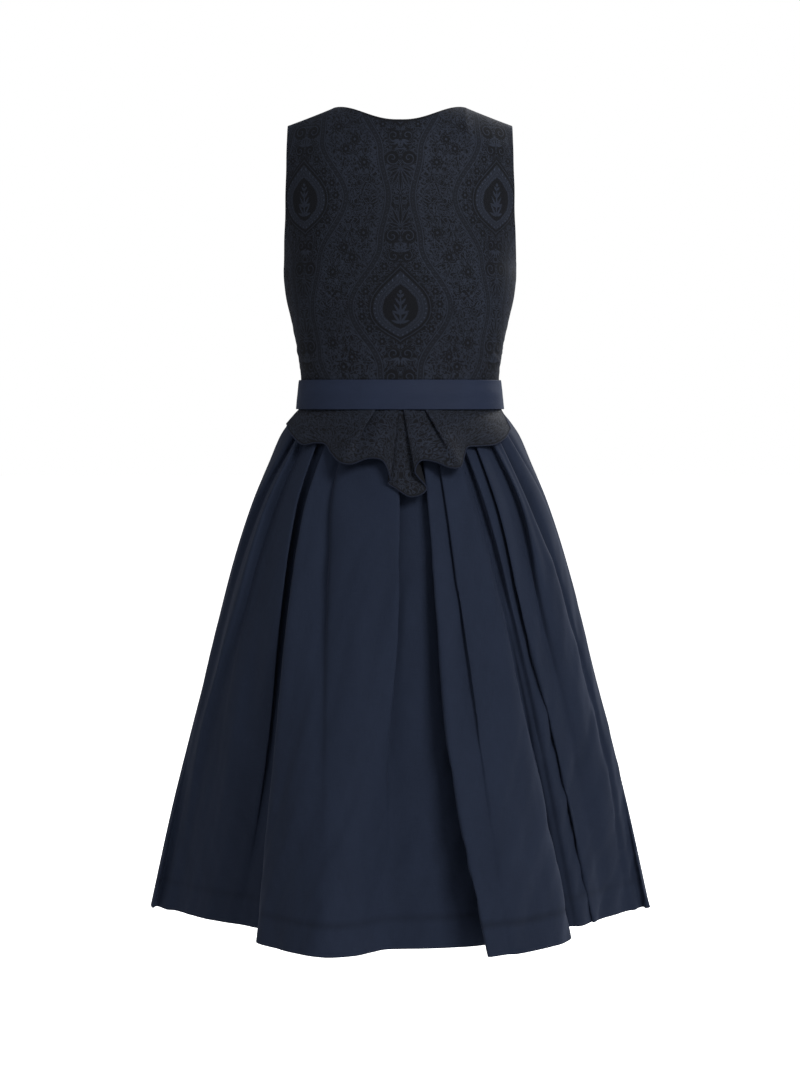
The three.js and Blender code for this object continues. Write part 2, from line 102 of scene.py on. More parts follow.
# Bodice form
torso = table_curves(
    "z half backEdge spine frontEdge chest turn",
    [
        (-380, 136.4, 0, 92.6, 0, -98.4, 90),
        (-361, 135.6, 0, 93, 0, -99, 90),
        (-314, 141.5, 0, 99, 0, -103, 90),
        (-273, 150.5, 0, 107, 0, -107, 90),
        (-244, 156.5, 0, 112, 0, -110, 88),
        (-212, 159.4, 0, 116, 0, -109, 84),
        (-182, 158.4, 14, 118.5, -18, -104, 72),
        (-140, 156.2, 34, 119, -44, -94, 60),
        (-90, 154.6, 42, 114, -50, -80, 53),
        (-50, 154, 42, 105, -46, -68, 50),
        (-10, 153.6, 38, 96, -38, -60, 50),
        (20, 153.4, 34, 90, -34, -56, 50),
    ],
)
NECK_SHARE = 0.58
NECK_POINT_Y = 12
SHOULDER_TIP_Y = 3
SHOULDER_ROLL = 84
ARMHOLE_SCOOP = 12
BUST_X, BUST_Z, BUST_OUT, BUST_WIDE, BUST_HIGH = 74, -206, 16, 50, 60


def round_share(s, turn_deg):
    turn = np.radians(turn_deg)
    here = np.arcsin(np.minimum(1, np.abs(s) * np.sin(turn)))
    return (np.cos(here) - np.cos(turn)) / (1 - np.cos(turn))


def shoulder_share(s):
    return clamp01((np.abs(s) - NECK_SHARE) / (1 - NECK_SHARE))


def shoulder_z(s):
    rise = 24 * (1 - np.minimum(1, np.abs(s) / NECK_SHARE)) ** 1.2
    return lerp(NECK_POINT_Z, SHOULDER_TIP_Z, shoulder_share(s) ** 0.95) + rise


def back_top(s):
    across = np.minimum(1, np.abs(s) / NECK_SHARE)
    lift = (1 - np.cos(np.pi * across**1.15)) / 2
    return np.where(across < 1, lerp(NAPE_Z, NECK_POINT_Z, lift), shoulder_z(s))


def front_top(s):
    across = np.minimum(1, np.abs(s) / NECK_SHARE)
    return np.where(across < 1, lerp(FRONT_NECK_Z, NECK_POINT_Z, across**2.3), shoulder_z(s))


def bodice_points(s, z, face):
    armhole = clamp01((z - UNDERARM_Z) / (SHOULDER_TIP_Z - UNDERARM_Z))
    scoop = ARMHOLE_SCOOP * np.sin(np.pi * armhole) ** 1.3 * s * s if face < 0 else 0
    x = s * (torso["half"](z) - BODICE_CLOTH / 2) - np.sign(s) * scoop
    edge = torso["backEdge"](z) if face > 0 else torso["frontEdge"](z)
    middle = torso["spine"](z) if face > 0 else torso["chest"](z)
    bust = 0
    if face < 0:
        bump = np.exp(-(((np.abs(x) - BUST_X) / BUST_WIDE) ** 2) - ((z - BUST_Z) / BUST_HIGH) ** 2)
        bust = BUST_OUT * bump * (1 - np.abs(s) ** 6)
    full = lerp(edge, middle, round_share(s, torso["turn"](z))) + face * bust
    fall = clamp01((shoulder_z(s) - z) / SHOULDER_ROLL)
    depth = lerp(lerp(NECK_POINT_Y, SHOULDER_TIP_Y, shoulder_share(s)), full, np.sqrt(1 - (1 - fall) ** 2))
    return np.stack([x, depth + face * SEAM_GAP / 2, z], -1)


# Waist, peplum and skirt outline
outline = table_curves(
    "z half back front",
    [
        (-361, 135, 92.4, 98.4),
        (-380, 135.8, 92.6, 98.6),
        (-399.5, 138, 95.5, 101),
        (-418, 151, 106, 110),
        (-436, 163, 117, 119),
        (-472, 178.4, 134, 133),
        (-526, 201, 155, 150),
        (-603, 226, 179, 170),
        (-692, 249, 202, 190),
        (-768, 267, 219, 206),
        (-842, 286, 235, 222),
        (-942, 311, 257, 246),
        (-1079, 341, 290, 282),
    ],
)
HEM_ROUND = 1.85


def skirt_share(z):
    return clamp01((BAND_FOOT_Z - z) / (BAND_FOOT_Z - HEM_Z))


def on_outline(x, z, face, out, straight=0.0):
    half = outline["half"](z)
    depth = outline["back"](z) if face > 0 else outline["front"](z)
    power = lerp(2, HEM_ROUND, skirt_share(z))
    share = np.minimum(0.9995, np.abs(x) / half)
    rise = (1 - share**power) ** (1 / power)
    nx = np.sign(x) * share ** (power - 1) / half
    ny = face * rise ** (power - 1) / depth
    size = np.hypot(nx, ny)
    px = share * half * np.sign(x) + lerp(nx / size, 0, straight) * out
    py = face * depth * rise + lerp(ny / size, face, straight) * out
    return np.stack([px, py, z + 0 * px], -1)


# Folds: lap, then x at the waist, hip, thigh, knee and hem, how far out the edge and the valley lie and how
# far the valley is tucked under the edge, each at the hip and the thigh, then the depth of the edge and of
# the valley and the tuck at the hem.
BACK_FOLDS = [
    (-1, (122, 199, 239, 280, 332), (4, 0), (-15, -3), (-9, -6), (10, 15, -5)),
    (-1, (113, 181, 220, 268, 306), (7, 5), (-16, -15), (-12, -11), (37, 45, -8)),
    (-1, (94, 139, 157, 172, 215), (5, 3), (-14, -16), (2, 1), (123, 127, -6)),
    (1, (80, 127, 147, 163, 181), (7, 9), (-13, -22), (8, 10), (236, 160, 9)),
    (1, (62, 88, 91, 92, 84), (3, 3), (-6, -5), (-6, -7), (322, 320, -16)),
    (-1, (4, 1, 2, 15, 20), (6, 3), (-10, -9), (11, 5), (277, 273, -20)),
    (1, (-23, -38, -49, -63, -110), (6, 13), (-10, -15), (9, 12), (318, 249, 8)),
    (1, (-40, -62, -80, -104, -146), (6, 11), (-3, 4), (6, 0), (301, 304, -12)),
    (-1, (-55, -96, -131, -168, -219), (5, 6), (-9, -10), (-8, -5), (219, 134, 5)),
    (1, (-65, -116, -150, -188, -236), (5, 0), (-9, -6), (-4, -6), (137, 137, -7)),
    (1, (-82, -131, -161, -203, -256), (7, 6), (-10, -12), (5, 4), (113, 104, 1)),
    (1, (-99, -165, -193, -234, -280), (6, 1), (-12, -7), (-6, -8), (76, 84, -6)),
    (-1, (-112, -175, -223, -266, -304), (4, 6), (-16, -12), (2, -2), (45, 38, -6)),
    (-1, (-124, -198, -239, -280, -327), (4, 0), (-9, -3), (-3, -5), (18, 12, -5)),
]
FRONT_HALF = [
    (-1, (60, 74, 86, 104, 128), (5, 6), (-9, -14), (8, 9), (-266, -238, 8)),
    (-1, (86, 112, 134, 160, 194), (5, 6), (-9, -13), (6, 7), (-232, -206, 4)),
    (-1, (108, 148, 178, 210, 254), (6, 6), (-10, -13), (5, 5), (-183, -162, 2)),
    (-1, (127, 183, 222, 259, 310), (5, 5), (-12, -13), (3, 3), (-108, -96, 0)),
]
FRONT_FOLDS = FRONT_HALF[::-1] + [(-lap, tuple(-x for x in xs), *rest) for lap, xs, *rest in FRONT_HALF]
FOLD_STATIONS = (0, 0.2, 0.4, 0.64, 1)
DEPTH_STATIONS = (0, 0.2, 0.5, 1)
WAIST_DEPTH = 3.2
WAIST_TUCK = 2.2
HEM_DRAWS_FROM = 0.3
STRAIGHT_FROM = 0.15
DRAW_IN = 1 / 1500
BELLY_SPACING = 52
BELLY = 0.16


def fold_points(fold, z, face):
    lap, xs, edge, valley, tuck, (edge_depth, valley_depth, hem_tuck) = fold
    t = skirt_share(z)
    above = np.maximum(0, z - BAND_FOOT_Z)
    x = through(FOLD_STATIONS, xs)(t) - xs[0] * above * DRAW_IN
    under = through(DEPTH_STATIONS, (WAIST_TUCK,) + tuck + (hem_tuck,))(t)
    depth = outline["back"] if face > 0 else outline["front"]
    near_hem = smooth((t - HEM_DRAWS_FROM) / (1 - HEM_DRAWS_FROM))

    def place(at, waist, hip, thigh, hem_depth):
        out = through(DEPTH_STATIONS, (waist, hip, thigh, thigh))(t)
        upper = on_outline(at, z, face, out, smooth(t / STRAIGHT_FROM))
        lower = np.stack([at, hem_depth * depth(z) / depth(HEM_Z), z], -1)
        return lerp(upper, lower, near_hem[:, None])

    pair = [place(x - lap * under, -WAIST_DEPTH, *valley, valley_depth), place(x, 0, *edge, edge_depth)]
    return pair if lap > 0 else pair[::-1]


def bellies(a, b, z, face, count):
    lift_a = a[:, 1] - on_outline(a[:, 0], z, face, 0)[:, 1]
    lift_b = b[:, 1] - on_outline(b[:, 0], z, face, 0)[:, 1]
    swell = face * BELLY * np.abs(lift_a - lift_b)
    near = (np.linalg.norm(a - b, axis=1) < 8)[:, None]
    made = []
    for i in range(count):
        f = (i + 1) / (count + 1)
        x = lerp(a[:, 0], b[:, 0], f)
        y = on_outline(x, z, face, 0)[:, 1] + lerp(lift_a, lift_b, f) + 4 * f * (1 - f) * swell
        made.append(np.where(near, lerp(a, b, f), np.stack([x, y, z], -1)))
    return made


NO_LENGTH = 1e-4


def smooth_rows(knots, spacing, least):
    """Rows of points along smooth lines through knots[knot][row], evenly spaced as at the last row."""
    knots = [2 * knots[0] - knots[1]] + list(knots) + [2 * knots[-1] - knots[-2]]
    out = []
    for i in range(1, len(knots) - 2):
        p0, p1, p2, p3 = knots[i - 1 : i + 3]
        pairs = ((p0, p1), (p1, p2), (p2, p3))
        d0, d1, d2 = (np.linalg.norm(b - a, axis=1, keepdims=True) ** 0.5 for a, b in pairs)
        d1 = np.where(d1 < NO_LENGTH, 1, d1)
        d0 = np.where(d0 < NO_LENGTH, d1, d0)
        d2 = np.where(d2 < NO_LENGTH, d1, d2)
        t1 = ((p1 - p0) / d0 - (p2 - p0) / (d0 + d1) + (p2 - p1) / d1) * d1
        t2 = ((p2 - p1) / d1 - (p3 - p1) / (d1 + d2) + (p3 - p2) / d2) * d1
        c2, c3 = -3 * p1 + 3 * p2 - 2 * t1 - t2, 2 * p1 - 2 * p2 + t1 + t2
        count = max(least, int(round(np.linalg.norm(p2 - p1, axis=1).max() / spacing)))
        last = i == len(knots) - 3
        for u in np.linspace(0, 1, count + 1)[: None if last else -1]:
            out.append(p1 + t1 * u + c2 * u * u + c3 * u**3)
    return np.stack(out, 1)


def skirt_grid(folds, face, rows, spacing, least):
    z = lerp(WAIST_SEAM_Z - SEAM_GAP / 2, HEM_Z, np.linspace(0, 1, rows) ** 1.15)
    half = outline["half"]
    hem_x = [half(HEM_Z)] + [fold[1][-1] for fold in folds] + [-half(HEM_Z)]
    counts = [max(1, math.floor((a - b) / BELLY_SPACING + 0.5)) for a, b in zip(hem_x, hem_x[1:])]
    seams = [np.stack([side * half(z), face * SEAM_GAP / 2 + 0 * z, z], -1) for side in (1, -1)]
    knots = [seams[0]] + [p for fold in folds for p in fold_points(fold, z, face)] + [seams[1]]
    points = [knots[0]]
    for i in range(1, len(knots)):
        if i % 2 == 1:
            points += bellies(knots[i - 1], knots[i], z, face, counts[(i - 1) // 2])
        points.append(knots[i])
    return smooth_rows(points, spacing, least)


# Ribs of the peplum: x at the top and at the hem, the hem's height, how far out the cloth lies at the
# top and at the hem, and whether the rib lies under a fold.
PEPLUM_RIBS = [
    (134, 147, -420, 2.7, 7.3, 0),
    (128, 141, -433, 2.6, 7.3, 0),
    (114, 124, -447, 2.5, 8.3, 0),
    (100, 109, -444.5, 2.5, 8.3, 0),
    (84, 95, -446, 2.5, 10.3, 0),
    (60, 84, -459, 3.3, 15.3, 0),
    (32, 70, -469.5, 4.7, 24.3, 0),
    (34.5, 58, -471.5, 2.3, 24.3, 1),
    (20, 38, -464, 2.8, 20.3, 0),
    (9, 21, -467, 3.6, 19, 0),
    (2, 12, -491, 4.7, 18, 0),
    (4.5, 15, -496, 2.3, 11.3, 0),
    (1, 4, -504, 2.3, 11.3, 0),
    (-1.5, -12, -513.5, 2.3, 12, 0),
    (-4, -27, -510.5, 2.3, 11.3, 0),
    (-7.5, -33, -503, 2.3, 11.3, 0),
    (-5, -18, -481, 4.7, 20, 0),
    (-12, -25, -467, 3.8, 21, 0),
    (-20, -42, -468.5, 2.8, 21.3, 0),
    (-35.5, -59, -476, 2.3, 25.3, 1),
    (-33, -71, -475.5, 4.7, 24.3, 0),
    (-56, -79, -462, 3.3, 15.3, 0),
    (-70, -85, -450, 2.5, 10.3, 0),
    (-90, -100, -448.5, 2.5, 8.3, 0),
    (-112, -122, -446.5, 2.5, 8.3, 0),
    (-127, -136, -438, 2.6, 7.3, 0),
    (-134, -143, -426, 2.7, 7.3, 0),
]


def peplum_grid(rows, spacing, least):
    above = 3
    free = np.concatenate([np.zeros(above), np.linspace(0, 1, rows - above)])
    knots = []
    for top, foot, hem, top_out, hem_out, under in PEPLUM_RIBS:
        z = lerp(BAND_FOOT_Z - 1, hem, free)
        z[:above] = lerp(PEPLUM_TOP_Z, BAND_FOOT_Z - 1, np.arange(above) / above)
        x = lerp(top, foot, free ** lerp(1, 0.6, under))
        knots.append(on_outline(x, z, 1, lerp(top_out, hem_out, free ** lerp(0.7, 1.4, under))))
    return smooth_rows(knots, spacing, least)


BAND_FRONT_OUT = 2.2
BAND_SIDE_OUT = 4.3
BAND_BACK_OUT = 6.9
BAND_TOP_OUT = 3.2


def band_grid(rows, columns):
    z = np.linspace(BAND_TOP_Z, BAND_FOOT_Z, rows)[:, None]
    turn = np.linspace(0, 2 * np.pi, columns + 1)[None, :]
    x, away = np.sin(turn), -np.cos(turn)
    front_to_back = lerp(BAND_FRONT_OUT, BAND_BACK_OUT, smooth((away + 0.35) / 1.1))
    lower = np.maximum(front_to_back, BAND_SIDE_OUT * smooth(1 - np.abs(away)))
    out = lerp(BAND_TOP_OUT, lower, smooth((-363 - z) / 18))
    half = outline["half"](z)
    depth = np.where(away > 0, outline["back"](z), outline["front"](z))
    nx, ny = x / half, away / depth
    size = np.hypot(nx, ny)
    px, py = x * half, away * depth
    px[:, 0], px[:, -1] = SEAM_GAP / 2, -SEAM_GAP / 2
    nx = nx * np.ones_like(px)
    nx[:, 0] = nx[:, -1] = 0
    return np.stack([px + nx / size * out, py + ny / size * out, z + 0 * px], -1)


# Cloth helpers
def ripples(u, v, seed, length_u, length_v, waves=7):
    """A smooth uneven height, about -1 to 1, from a few crossing waves."""
    rng = np.random.default_rng(seed)
    total = np.zeros_like(u)
    for _ in range(waves):
        ku, kv = rng.normal(0, 1, 2) / (length_u, length_v)
        total += np.sin(2 * np.pi * (ku * u + kv * v) + rng.uniform(0, 2 * np.pi))
    return total / math.sqrt(waves)


def grid_normals(grid):
    return unit(np.cross(np.gradient(grid, axis=0), np.gradient(grid, axis=1)))


def unit(v):
    return v / np.maximum(1e-9, np.linalg.norm(v, axis=-1, keepdims=True))


def arc(grid, axis):
    """Distance along the cloth in mm, down the columns or along the rows."""
    steps = np.linalg.norm(np.diff(grid, axis=axis), axis=-1)
    pad = [(0, 0), (0, 0)]
    pad[axis] = (1, 0)
    return np.pad(np.cumsum(steps, axis=axis), pad)


def grid_faces(rows, cols, start, flip=False):
    r, c = np.meshgrid(np.arange(rows - 1), np.arange(cols - 1), indexing="ij")
    a = start + (r * cols + c).ravel()
    quads = np.stack([a, a + cols, a + cols + 1, a + 1], -1)
    return quads[:, ::-1] if flip else quads


def make_mesh(name, points, quads, uv, marks):
    mesh = bpy.data.meshes.new(name)
    mesh.vertices.add(len(points))
    mesh.vertices.foreach_set("co", (points * MM).astype(np.float32).ravel())
    mesh.loops.add(4 * len(quads))
    mesh.loops.foreach_set("vertex_index", quads.astype(np.int32).ravel())
    mesh.polygons.add(len(quads))
    mesh.polygons.foreach_set("loop_start", np.arange(0, 4 * len(quads), 4, dtype=np.int32))
    mesh.polygons.foreach_set("use_smooth", np.ones(len(quads), bool))
    mesh.update(calc_edges=True)
    layer = mesh.uv_layers.new(name="cloth")
    layer.data.foreach_set("uv", (uv[quads.ravel()] * MM).astype(np.float32).ravel())
    for key, values in marks.items():
        mark = mesh.attributes.new(key, "FLOAT", "POINT")
        mark.data.foreach_set("value", values.astype(np.float32))
    piece = bpy.data.objects.new(name, mesh)
    bpy.context.scene.collection.objects.link(piece)
    return piece


RIM_STEPS = 5


def cloth_shell(name, grid, inner_every, thickness, uv, marks, rounding=0.7):
    """A thin shell: a fine outer face, a coarser inner face and soft rims all round."""
    normals = grid_normals(grid)
    outer = grid + normals * thickness / 2
    inner = grid - normals * thickness / 2
    rows, cols = grid.shape[:2]
    keep_r = np.unique(np.append(np.arange(0, rows, inner_every), rows - 1))
    keep_c = np.unique(np.append(np.arange(0, cols, inner_every), cols - 1))
    coarse = inner[np.ix_(keep_r, keep_c)]
    parts = [outer.reshape(-1, 3), coarse.reshape(-1, 3)]
    uvs = [uv.reshape(-1, 2), uv[np.ix_(keep_r, keep_c)].reshape(-1, 2)]
    extra = {k: [v.ravel(), np.zeros(coarse.shape[0] * coarse.shape[1])] for k, v in marks.items()}
    quads = [grid_faces(rows, cols, 0), grid_faces(len(keep_r), len(keep_c), rows * cols, flip=True)]
    start = rows * cols + coarse.shape[0] * coarse.shape[1]
    edges = [
        (np.s_[0, :], np.s_[1, :], True),
        (np.s_[-1, :], np.s_[-2, :], False),
        (np.s_[:, 0], np.s_[:, 1], False),
        (np.s_[:, -1], np.s_[:, -2], True),
    ]
    for at, back, flip in edges:
        away = unit(grid[at] - grid[back])
        steps = [(math.cos(a), math.sin(a)) for a in np.linspace(0, math.pi, RIM_STEPS)]
        half = thickness / 2
        line = np.stack([grid[at] + normals[at] * half * c + away * half * rounding * s for c, s in steps])
        count = line.shape[1]
        parts.append(line.reshape(-1, 3))
        uvs.append(np.tile(uv[at], (len(steps), 1)))
        for k, v in marks.items():
            extra[k].append(np.tile(v[at], len(steps)))
        quads.append(grid_faces(len(steps), count, start, flip=flip))
        start += len(steps) * count
    all_marks = {k: np.concatenate(v) for k, v in extra.items()}
    return make_mesh(name, np.concatenate(parts), np.concatenate(quads), np.concatenate(uvs), all_marks)


def tube(name, path, radius, sides=8):
    """A round edge or cord along a line of points."""
    ahead = unit(np.gradient(path, axis=0))
    side = unit(np.cross(ahead, np.array([0.0, 0.0, 1.0]) + 0 * path))
    up = np.cross(side, ahead)
    turns = np.linspace(0, 2 * np.pi, sides + 1)[None, :, None]
    ring = path[:, None] + radius * (np.cos(turns) * side[:, None] + np.sin(turns) * up[:, None])
    uv = np.stack([arc(ring, 0), arc(ring, 1)], -1)
    quads = grid_faces(len(path), sides + 1, 0, flip=True)
    return make_mesh(name, ring.reshape(-1, 3), quads, uv.reshape(-1, 2), {})


# Jacquard figures: the repeat's cell and where its first medallion's middle lies
CELL_X = 144.0
CELL_Y = 145.0
FIGURE_Y = -264.0
FAR_OUTSIDE = -9.0
LINE_WIDTH = 1.5

# Small sprigs, and their leaves: turn from the sprig's lean and share of its size
SPRIG_SPACING = 14.5
SPRIG_HALF_STEP = 7.2
SPRIG_SHIFT = 2.5
SPRIG_LEAN = 0.7
SPRIG_START = 1.6
SPRIG_LEAF_WIDTH = 1.5
SPRIG_LEAVES = ((0.0, 1.0), (0.8, 0.85), (-0.8, 0.85), (1.7, 0.65), (-1.7, 0.65))

# Frame round each medallion
NECK_HALF = 27
NECK_DRAW_IN = 11
FRAME_SWELL = 41
FRAME_HALF_HIGH = 84
FRAME_CLEAR = 9.8
FRAME_ENDS = 80
THINNER_INSIDE = 0.15
FRAME_LEAF_SPACING = 10.6
OUTER_LEAF_TURNS = (0.75, -0.5)
INNER_LEAF_TURNS = (2.5, -2.4)

# Medallion, and the leaves of its sprig: height of the foot, lean in degrees and length
RIM_WIDE, RIM_HIGH, RIM_LOW = 44, 59, 51
RAYS = 34
MIDDLE_LEAF_WIDTH = 3.0
MIDDLE_SPRIG = (
    (-24, 90, 42),
    (-22, 55, 20),
    (-22, 20, 14),
    (-10, 58, 18),
    (-10, 24, 13),
    (2, 54, 13),
    (12, 50, 8),
)

# Flowers and curls round the medallion, each curl by its height and the way that it opens
RING_FLOWER_SPACING = 16.5
RING_FLOWER_RADIUS = 5.8
RING_LEAF_TURNS = (0.5, 1.5, 2.6, -0.6, -1.6, -2.6)
RING_CURLS = ((67, 1), (-62, -1))
RING_CURL_TURNS = (1.57, 0.9, 0.35)

# Curls in the frames' necks, and the leaves of the spray on them: lean in degrees and length
NECK_CURLS = ((CELL_Y - 52, 1), (52 - CELL_Y, -1))
NECK_SPRAY = ((90, 36), (66, 31), (44, 25), (20, 20))

# Larger flowers between the frames
CORNER_FLOWERS = ((50, 98), (50, -98), (66, 66), (66, -66))
CORNER_FLOWER_RADIUS = 6.4
CORNER_LEAVES = 8

ONION_FORM = through(
    [-1, -0.9, -0.72, -0.5, -0.25, -0.05, 0.18, 0.4, 0.6, 0.78, 0.91, 1],
    [0, 0.12, 0.46, 0.78, 0.96, 1, 0.95, 0.78, 0.53, 0.28, 0.1, 0],
)


def onion(x, y, wide, high, low):
    """How far inside an onion form a point lies, in mm: pointed above and below, fullest low down."""
    reach = np.where(y > 0, high, low)
    t = y / reach
    step = 0.02
    slope = wide * (ONION_FORM(t + step) - ONION_FORM(t - step)) / (2 * step * reach)
    beyond = np.maximum(y - high, 0) + np.maximum(-low - y, 0)
    return (wide * ONION_FORM(t) - np.abs(x)) / np.sqrt(1 + slope**2) - beyond


def stroke(depth, width):
    return width / 2 - np.abs(depth)


def frame_half(y):
    """Half the width of the frame round a medallion, and how far its sides lean, by height."""
    turn = np.pi * np.minimum(np.abs(y) / FRAME_HALF_HIGH, 1)
    lean = FRAME_SWELL * 0.5 * np.pi / FRAME_HALF_HIGH * np.sin(turn)
    beyond = np.pi * np.maximum(np.abs(y) - FRAME_HALF_HIGH, 0) / (CELL_Y - FRAME_HALF_HIGH)
    half = NECK_HALF + FRAME_SWELL * (0.5 + 0.5 * np.cos(turn)) - NECK_DRAW_IN * (0.5 - 0.5 * np.cos(beyond))
    return half, np.sqrt(1 + lean**2)


class Cell:
    """Distances in mm that the jacquard is drawn from, mirrored about each column and half-dropped.

    leafy is positive on leaves, petals and curls; frame is the distance from the middle of the
    frame band; rim is the depth inside the medallion; ray waves round it; fine is where the
    small leafage between the figures shows."""

    def __init__(self, u, v):
        column = np.round(u / CELL_X)
        drop = np.where(column % 2 == 0, 0.0, CELL_Y)
        self.x = np.abs(u - column * CELL_X)
        self.y = (v - FIGURE_Y - drop + CELL_Y) % (2 * CELL_Y) - CELL_Y
        self.leafy = np.full_like(u, FAR_OUTSIDE)
        self.frame = np.full_like(u, FAR_OUTSIDE)
        self.rim = np.full_like(u, FAR_OUTSIDE)
        self.ray = np.zeros_like(u)
        self.fine = np.ones_like(u)

    def grow(self, shape):
        self.leafy = np.maximum(self.leafy, shape)

    def clear(self, shape):
        self.leafy = np.minimum(self.leafy, -shape)

    def bare(self, shape):
        self.clear(shape)
        self.fine = self.fine * (1 - smooth(0.5 + shape / 1.5))

    def leaf(self, x, y, length, width, angle):
        """How far inside a pointed leaf each point lies; the leaf starts at x, y."""
        c, s = math.cos(angle), math.sin(angle)
        p = ((self.x - x) * c + (self.y - y) * s) / length
        q = -(self.x - x) * s + (self.y - y) * c
        body = width / 2 * 4 * clamp01(p) * (1 - clamp01(p)) * (1.25 - 0.5 * clamp01(p))
        outside = np.maximum(np.maximum(-p, p - 1), 0) * length
        return body - np.abs(q) - outside

    def disc(self, x, y, radius, petals=0, depth=0.0):
        angle = np.arctan2(self.y - y, self.x - x)
        return radius * (1 + depth * np.cos(petals * angle)) - np.hypot(self.x - x, self.y - y)

    def flower(self, x, y, radius, petals):
        shape = self.disc(x, y, radius, petals, 0.2)
        self.bare(shape + 1.0)
        self.grow(stroke(shape, LINE_WIDTH))
        self.grow(self.disc(x, y, radius * 0.3))

    def curl(self, x, y, radius, way):
        away = np.hypot(self.x - x, self.y - y)
        angle = np.arctan2(self.y - y, self.x - x) * way
        self.bare(radius + 0.6 - away)
        wound = (away - (angle + np.pi)) % (2 * np.pi) - np.pi
        self.grow(np.where(away < radius, stroke(wound, LINE_WIDTH), FAR_OUTSIDE))


def sprigs(cell):
    """Thin leaves all over, laid first and cleared away round the larger figures."""
    rng = np.random.default_rng(41)
    for row in range(-10, 11):
        for col in range(0, 6):
            half_step = SPRIG_HALF_STEP if row % 2 else 0
            x = col * SPRIG_SPACING + half_step + rng.uniform(-SPRIG_SHIFT, SPRIG_SHIFT)
            y = row * SPRIG_SPACING + rng.uniform(-SPRIG_SHIFT, SPRIG_SHIFT)
            upright = math.pi / 2 * (1 if row % 3 else -1)
            lean = math.atan2(y, x + 20) * 0.6 + rng.uniform(-SPRIG_LEAN, SPRIG_LEAN) + upright
            size = rng.uniform(9, 12)
            for turn, share in SPRIG_LEAVES:
                way = lean + turn
                start_x = x + SPRIG_START * math.cos(way)
                start_y = y + SPRIG_START * math.sin(way)
                cell.grow(cell.leaf(start_x, start_y, size * share, SPRIG_LEAF_WIDTH, way))


def frame_band(cell):
    """The wavy frame round each medallion, with thin leaves on both sides."""
    half, slant = frame_half(cell.y)
    cell.frame = (cell.x - half) / slant
    cell.bare(stroke(cell.frame, FRAME_CLEAR))
    inside = smooth(0.5 - cell.frame / 1.5) * smooth((FRAME_HALF_HIGH - np.abs(cell.y)) / 8)
    cell.clear(np.minimum(-cell.frame, FRAME_ENDS - np.abs(cell.y)))
    cell.fine = cell.fine * (1 - THINNER_INSIDE * inside)
    for i in range(-13, 14):
        y = i * FRAME_LEAF_SPACING
        x = float(frame_half(y)[0])
        for turn in OUTER_LEAF_TURNS:
            shape = cell.leaf(x + 5.4, y, 12, 2.4, turn)
            cell.clear(shape + 0.8)
            cell.grow(shape)
        if abs(y) < FRAME_ENDS - 4:
            for turn in INNER_LEAF_TURNS:
                cell.grow(cell.leaf(x - 5.2, y + 3, 7, 2.0, turn))


def medallion(cell):
    """The medallion and the sprig in its dark middle."""
    cell.rim = onion(cell.x, cell.y, RIM_WIDE, RIM_HIGH, RIM_LOW)
    cell.ray = np.cos(np.arctan2(cell.y + 2, cell.x) * RAYS)
    cell.bare(cell.rim)
    for y, degrees, size in MIDDLE_SPRIG:
        cell.grow(cell.leaf(0, y, size, MIDDLE_LEAF_WIDTH, math.radians(degrees)))
    cell.grow(cell.disc(0, 20, 2.2))


def ring(cell):
    """Flowers and curls between the medallion and its frame."""
    for i in range(-3, 4):
        y = 4 + i * RING_FLOWER_SPACING
        inner = (RIM_WIDE - 1) * float(ONION_FORM(y / (RIM_HIGH - 2 if y > 0 else RIM_LOW - 1)))
        x = (max(inner, 8) + float(frame_half(y)[0]) - 4) / 2
        cell.flower(x, y, RING_FLOWER_RADIUS, 6)
        for turn in RING_LEAF_TURNS:
            cell.grow(cell.leaf(x + 7 * math.cos(turn), y + 7 * math.sin(turn), 6, 1.9, turn))
    for y, way in RING_CURLS:
        cell.curl(9, y, 7.5, way)
        for turn in RING_CURL_TURNS:
            cell.grow(cell.leaf(2, y + way * 5, 12, 2.4, way * turn))


def neck(cell):
    """The curls and the spray in the neck of each frame."""
    for y, way in NECK_CURLS:
        cell.curl(11, y, 9.5, way)
        for degrees, size in NECK_SPRAY:
            shape = cell.leaf(0, y + way * 12, size, 4.2, way * math.radians(degrees))
            cell.bare(shape + 1.2)
            cell.grow(stroke(shape, 1.3))


def corner_flowers(cell):
    """Larger flowers in the corners between the frames."""
    for x, y in CORNER_FLOWERS:
        cell.bare(9 - np.hypot(cell.x - x, cell.y - y))
        for k in range(CORNER_LEAVES):
            a = k * math.tau / CORNER_LEAVES + 0.3
            cell.grow(cell.leaf(x + 8 * math.cos(a), y + 8 * math.sin(a), 9, 2.4, a + 0.4))
        cell.flower(x, y, CORNER_FLOWER_RADIUS, 8)


def figure_marks(u, v, figures=True):
    cell = Cell(u, v)
    sprigs(cell)
    if figures:
        for lay in (frame_band, medallion, ring, neck, corner_flowers):
            lay(cell)
    return {name: getattr(cell, name) for name in ("leafy", "frame", "rim", "ray", "fine")}


# Materials
def new_material(name):
    material = bpy.data.materials.new(name)
    material.use_nodes = True
    tree = material.node_tree
    tree.nodes.clear()
    out = tree.nodes.new("ShaderNodeOutputMaterial")
    shader = tree.nodes.new("ShaderNodeBsdfPrincipled")
    tree.links.new(shader.outputs["BSDF"], out.inputs["Surface"])
    return material, tree, shader


def node(tree, kind, inputs=None, **settings):
    made = tree.nodes.new(kind)
    for key, value in settings.items():
        setattr(made, key, value)
    for key, value in (inputs or {}).items():
        if isinstance(value, bpy.types.NodeSocket):
            tree.links.new(value, made.inputs[key])
        else:
            made.inputs[key].default_value = value
    return made


def math_node(tree, operation, a, b=0.0, c=0.0):
    return node(tree, "ShaderNodeMath", {0: a, 1: b, 2: c}, operation=operation).outputs[0]


